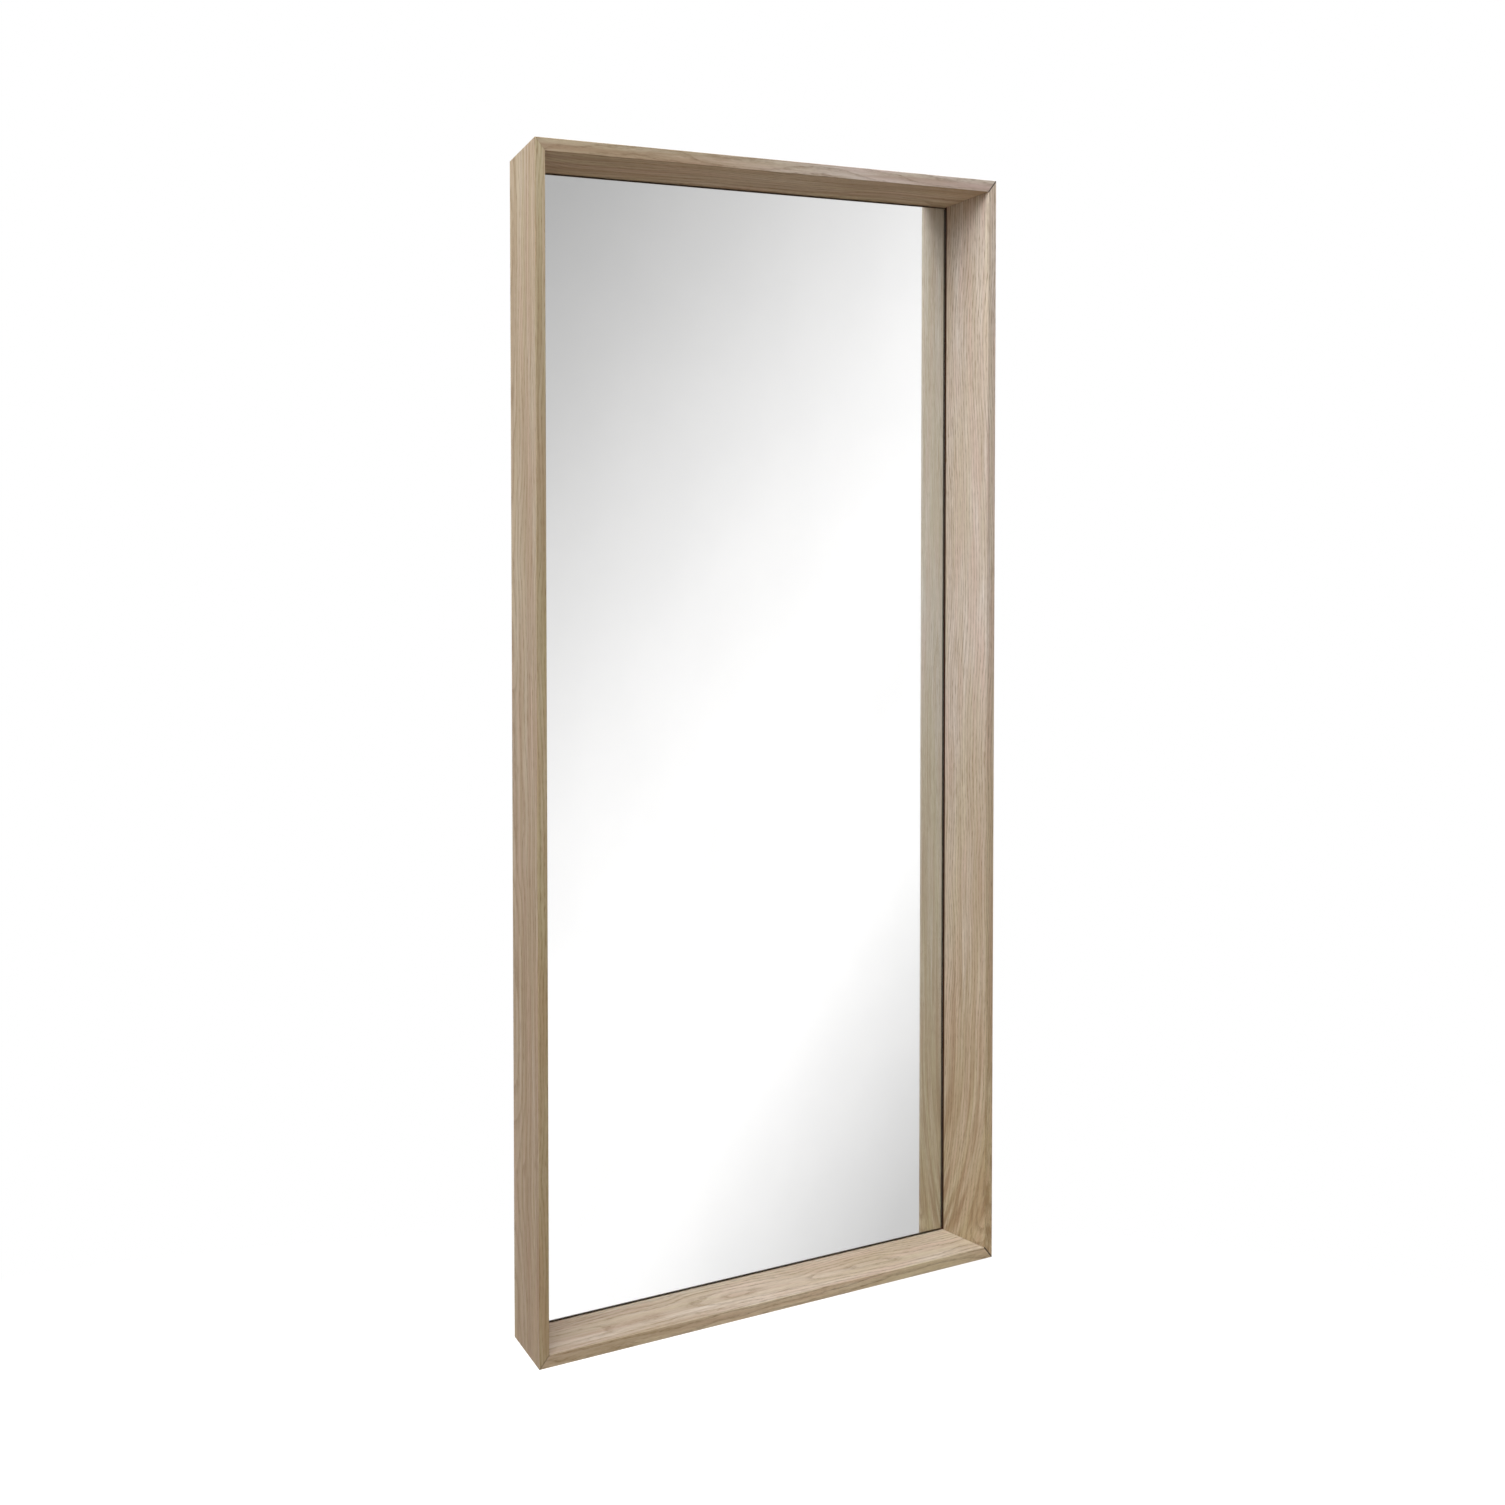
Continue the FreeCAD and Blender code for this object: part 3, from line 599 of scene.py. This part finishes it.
def dress_nodes():
    """Gives every carried-over piece its material."""
    dress_boards()
    dress(material("float_glass", glass), "mirror_pane")
    dress(material("fibreboard", fibreboard), "back_panel")
    dress(material("foam_tape", foam), "mounting_tape")
    dress(material("beech_plywood", plywood), *SPLINES)
    dress(material("zinc_plate", zinc, PLATE_BRUSH), *HANGERS)
    dress(material("zinc_wire", zinc, WIRE_BRUSH), "hanger_screws", "panel_staples")


def dress_boards():
    """Oak for the four boards, with their mitres and the pane where the solids have them."""
    _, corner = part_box("stile_right")
    reach = corner.z - corner.x
    pane_lower, pane_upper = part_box("mirror_pane")
    for name, board in OAK_BOARDS.items():
        pane_half = pane_upper.x if board.turn == ALONG_Z else pane_upper.z
        dress(material("oak_" + name, oak, board, reach, pane_half, pane_lower.y), name)


def dress(finish, *names):
    """Puts one material on every slot of some carried-over pieces."""
    for name in names:
        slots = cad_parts[name].data.materials
        if not slots:
            slots.append(finish)
        for index in range(len(slots)):
            slots[index] = finish


def add_mesh(name, points, faces, finish):
    """A new object from points and faces."""
    mesh = bpy.data.meshes.new(name)
    mesh.from_pydata(points, [], faces)
    mesh.materials.append(finish)
    made = bpy.data.objects.new(name, mesh)
    bpy.context.scene.collection.objects.link(made)
    return made


def corner_outline(half_x, half_z, cut):
    """A rectangle about the origin with its corners cut, anticlockwise seen from the front."""
    near_x, near_z = half_x - cut, half_z - cut
    return [
        (half_x, -near_z), (half_x, near_z), (near_x, half_z), (-near_x, half_z),
        (-half_x, near_z), (-half_x, -near_z), (-near_x, -half_z), (near_x, -half_z),
    ]


def add_silver():
    """The silver coat: a thin closed slab inside the back face of the glass."""
    _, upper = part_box("mirror_pane")
    outline = corner_outline(upper.x - SILVER_INSET, upper.z - SILVER_INSET, SILVER_CORNER)
    back = upper.y - SILVER_DEPTH
    front = back - SILVER_THICKNESS
    count = len(outline)
    points = [(x, front, z) for x, z in outline] + [(x, back, z) for x, z in outline]
    faces = [tuple(range(count)), tuple(reversed(range(count, 2 * count)))]
    for index in range(count):
        after = (index + 1) % count
        faces.append((index, index + count, after + count, after))
    coat = add_mesh("silvering", points, faces, material("silver_coat", silver))
    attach(coat, "root")


# Screws of the keyhole plates: radius and depth of each ring from the rim of the head to the end
# of the shank, and the cross recess in the head, whose floor is narrower by its taper.
SCREW_SIDES = 32
SCREW_SPACING = 38.0 * MM
SCREW_LENGTH = 9.5 * MM
SCREW_PROFILE = (
    (3.0 * MM, 0.0), (3.1 * MM, 0.1 * MM), (1.5 * MM, 1.6 * MM), (1.5 * MM, 7.0 * MM),
)
CROSS_REACH = 1.9 * MM
CROSS_HALF = 0.45 * MM
CROSS_DEPTH = 1.3 * MM
CROSS_TAPER = 0.5
CROSS_LEAST = 1e-6


def cross_radius(angle):
    """From the middle of a screw head to the edge of its cross recess, in one direction."""
    reaches = []
    for turned in (angle, angle + pi / 2):
        end = CROSS_REACH / max(abs(cos(turned)), CROSS_LEAST)
        side = CROSS_HALF / max(abs(sin(turned)), CROSS_LEAST)
        reaches.append(min(end, side))
    return max(reaches)


def screw_rings(angles):
    """The rings of a screw, from the floor of its recess over its rim to the end of its shank."""
    cross = [cross_radius(angle) for angle in angles]
    rings = [([CROSS_TAPER * radius for radius in cross], CROSS_DEPTH), (cross, 0.0)]
    for radius, depth in SCREW_PROFILE:
        rings.append(([radius] * SCREW_SIDES, depth))
    return rings


def screw_mesh(x, z, start):
    """The points and faces of one countersunk screw, with its head at the back face."""
    angles = [2 * pi * step / SCREW_SIDES for step in range(SCREW_SIDES)]
    rings = screw_rings(angles)
    points = [(x, -CROSS_DEPTH, z), (x, -SCREW_LENGTH, z)]
    floor, point, first = start, start + 1, start + 2
    for radii, depth in rings:
        points += [(x + r * cos(a), -depth, z + r * sin(a)) for r, a in zip(radii, angles)]
    last = first + (len(rings) - 1) * SCREW_SIDES
    faces = []
    for side in range(SCREW_SIDES):
        after = (side + 1) % SCREW_SIDES
        faces.append((floor, first + after, first + side))
        for low in range(first, last, SCREW_SIDES):
            high = low + SCREW_SIDES
            faces.append((low + side, low + after, high + after, high + side))
        faces.append((last + side, last + after, point))
    return points, faces


def screw_places():
    """Where the plates' screws are: two along each plate, evenly about its middle."""
    places = []
    for name in HANGERS:
        lower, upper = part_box(name)
        middle = (lower + upper) / 2
        upright = upper.z - lower.z > upper.x - lower.x
        for shift in (-SCREW_SPACING / 2, SCREW_SPACING / 2):
            shift_x, shift_z = (0.0, shift) if upright else (shift, 0.0)
            places.append((middle.x + shift_x, middle.z + shift_z))
    return places


def add_screws():
    """The screws of the keyhole plates, with the cross recess that the plain ones lack."""
    points, faces = [], []
    for x, z in screw_places():
        more_points, more_faces = screw_mesh(x, z, len(points))
        points += more_points
        faces += more_faces
    finish = material("zinc_screw", zinc, SCREW_BRUSH, ZINC_GOLD, ZINC_BRONZE)
    screws = add_mesh("plate_screws", points, faces, finish)
    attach(screws, "root")
    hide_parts("hanger_screws")


# A round pale floor below the mirror, which hangs on a wall. It glows a little, so that the
# shadow on it stays faint, and fades to white with distance.
FLOOR_DROP = 0.62
FLOOR_RADIUS = 14.0
FLOOR_SIDES = 96
FLOOR_GLOW = 0.38
FLOOR_FADE = (1.2, 3.2)
FLOOR_PALE = (0.86, 0.86, 0.86, 1.0)
FLOOR_WHITE = (0.88, 0.88, 0.88, 1.0)
FLOOR_BOUNCE = (0.66, 0.56, 0.46, 1.0)
FLOOR_MOTTLE = Noise((3, 3, 3), 4.0)
FLOOR_MOTTLE_SHADE = (0.3, 0.7)


def whitewash(nodes):
    """A pale floor that keeps the soft shadow of the mirror and fades into the white room."""
    position = nodes.position()
    mottle = nodes.remap(nodes.noise(position, FLOOR_MOTTLE), *FLOOR_MOTTLE_SHADE)
    colour = nodes.mix(mottle, FLOOR_PALE, FLOOR_WHITE)
    plain = nodes.add("ShaderNodeBsdfDiffuse", {"Color": colour})
    glow = nodes.add("ShaderNodeEmission", {"Color": WHITE, "Strength": FLOOR_GLOW})
    near = nodes.add("ShaderNodeAddShader", {0: plain, 1: glow})
    far = nodes.add("ShaderNodeEmission", {"Color": WHITE, "Strength": 1.0})
    distance = nodes.remap(nodes.vector("LENGTH", position, output="Value"), *FLOOR_FADE)
    faded = nodes.add("ShaderNodeMixShader", {0: distance, 1: near, 2: far})
    seen = nodes.add("ShaderNodeLightPath", output="Is Camera Ray")
    bounce = nodes.add("ShaderNodeBsdfDiffuse", {"Color": FLOOR_BOUNCE})
    shown = nodes.add("ShaderNodeMixShader", {0: seen, 1: bounce, 2: faded})
    nodes.add_output("ShaderNodeOutputMaterial", shown)


def add_floor():
    """The round floor, which mirror and metal don't show."""
    lowest = cad_box[0][2] - FLOOR_DROP
    bpy.ops.mesh.primitive_circle_add(
        vertices=FLOOR_SIDES, radius=FLOOR_RADIUS, fill_type="NGON", location=(0, 0, lowest)
    )
    floor = bpy.context.object
    floor.name = "floor"
    floor.data.materials.append(material("pale_floor", whitewash))
    floor.visible_glossy = False
    floor.visible_transmission = False


# The room that the mirror shows is a soft diagonal gradient. Each stop is a place on a slant over
# the wall, metres up less a share of metres across, and the brightness mirrored there.
ROOM_STOPS = (
    (-3.0, 1.00),
    (-2.2, 0.50),
    (-1.2, 0.64),
    (-0.6, 1.11),
    (0.05, 1.11),
    (0.3, 1.01),
    (0.6, 0.835),
    (0.9, 0.65),
    (1.2, 0.49),
    (1.8, 0.42),
    (2.8, 1.05),
    (3.4, 1.05),
    (4.8, 0.60),
    (6.0, 1.05),
    (6.8, 1.05),
    (8.0, 0.55),
    (9.0, 1.00),
)
ROOM_TINT = (1.122, 1.054, 1.060, 1.0)
ROOM_LEAN = 0.97
FORWARD_LEAST = 0.001


def room_gradient(nodes):
    """The colour of the room in each direction, by where on the wall it is mirrored."""
    eye_x, eye_y, eye_z = CAMERA_PLACE
    x, y, z = nodes.split(nodes.add("ShaderNodeTexCoord", output="Generated"))
    forward = nodes.math("MAXIMUM", nodes.math("MULTIPLY", y, -1.0), FORWARD_LEAST)
    across = nodes.math("MULTIPLY_ADD", nodes.math("DIVIDE", x, forward), -eye_y, eye_x)
    up = nodes.math("MULTIPLY_ADD", nodes.math("DIVIDE", z, forward), -eye_y, eye_z)
    slant = nodes.math("SUBTRACT", up, nodes.math("MULTIPLY", across, ROOM_LEAN))
    low, high = ROOM_STOPS[0][0], ROOM_STOPS[-1][0]
    stops = [((stop - low) / (high - low), level) for stop, level in ROOM_STOPS]
    return nodes.multiply(nodes.ramp(nodes.remap(slant, low, high), stops), ROOM_TINT)


def room_light(nodes):
    """White for the camera, the room in the mirror, and a plain level on the object."""
    path = nodes.add("ShaderNodeLightPath").node.outputs
    mirrored = nodes.math("MAXIMUM", path["Is Glossy Ray"], path["Is Transmission Ray"])
    colour = nodes.mix(mirrored, AMBIENT, room_gradient(nodes))
    colour = nodes.mix(path["Is Camera Ray"], colour, WHITE)
    shader = nodes.add("ShaderNodeBackground", {"Color": colour, "Strength": 1.0})
    nodes.add_output("ShaderNodeOutputWorld", shader)


def set_world():
    world = bpy.data.worlds.new("studio")
    world.use_nodes = True
    room_light(Nodes(world.node_tree))
    bpy.context.scene.world = world


def add_lamp(name, place, watts, side, target, colour):
    """A square soft lamp that faces a point and doesn't show in the mirror."""
    lamp = bpy.data.lights.new(name, "AREA")
    lamp.energy = watts
    lamp.color = colour
    lamp.size = side
    made = bpy.data.objects.new(name, lamp)
    made.location = place
    made.rotation_euler = (Vector(target) - Vector(place)).to_track_quat("-Z", "Y").to_euler()
    made.visible_camera = False
    made.visible_glossy = False
    made.visible_transmission = False
    bpy.context.scene.collection.objects.link(made)


def add_camera():
    camera = bpy.data.cameras.new("camera")
    camera.lens = CAMERA_LENS
    camera.sensor_width = CAMERA_SENSOR
    camera.shift_y = CAMERA_SHIFT
    camera.clip_end = CAMERA_REACH
    made = bpy.data.objects.new("camera", camera)
    made.location = CAMERA_PLACE
    made.rotation_euler = (pi / 2 + CAMERA_PITCH, 0.0, CAMERA_YAW)
    bpy.context.scene.collection.objects.link(made)
    bpy.context.scene.camera = made


add_camera()
dress_nodes()
add_silver()
add_screws()
add_floor()
set_world()
for name, lamp in LAMPS.items():
    add_lamp(name, *lamp)
bpy.context.scene.view_settings.view_transform = "Standard"
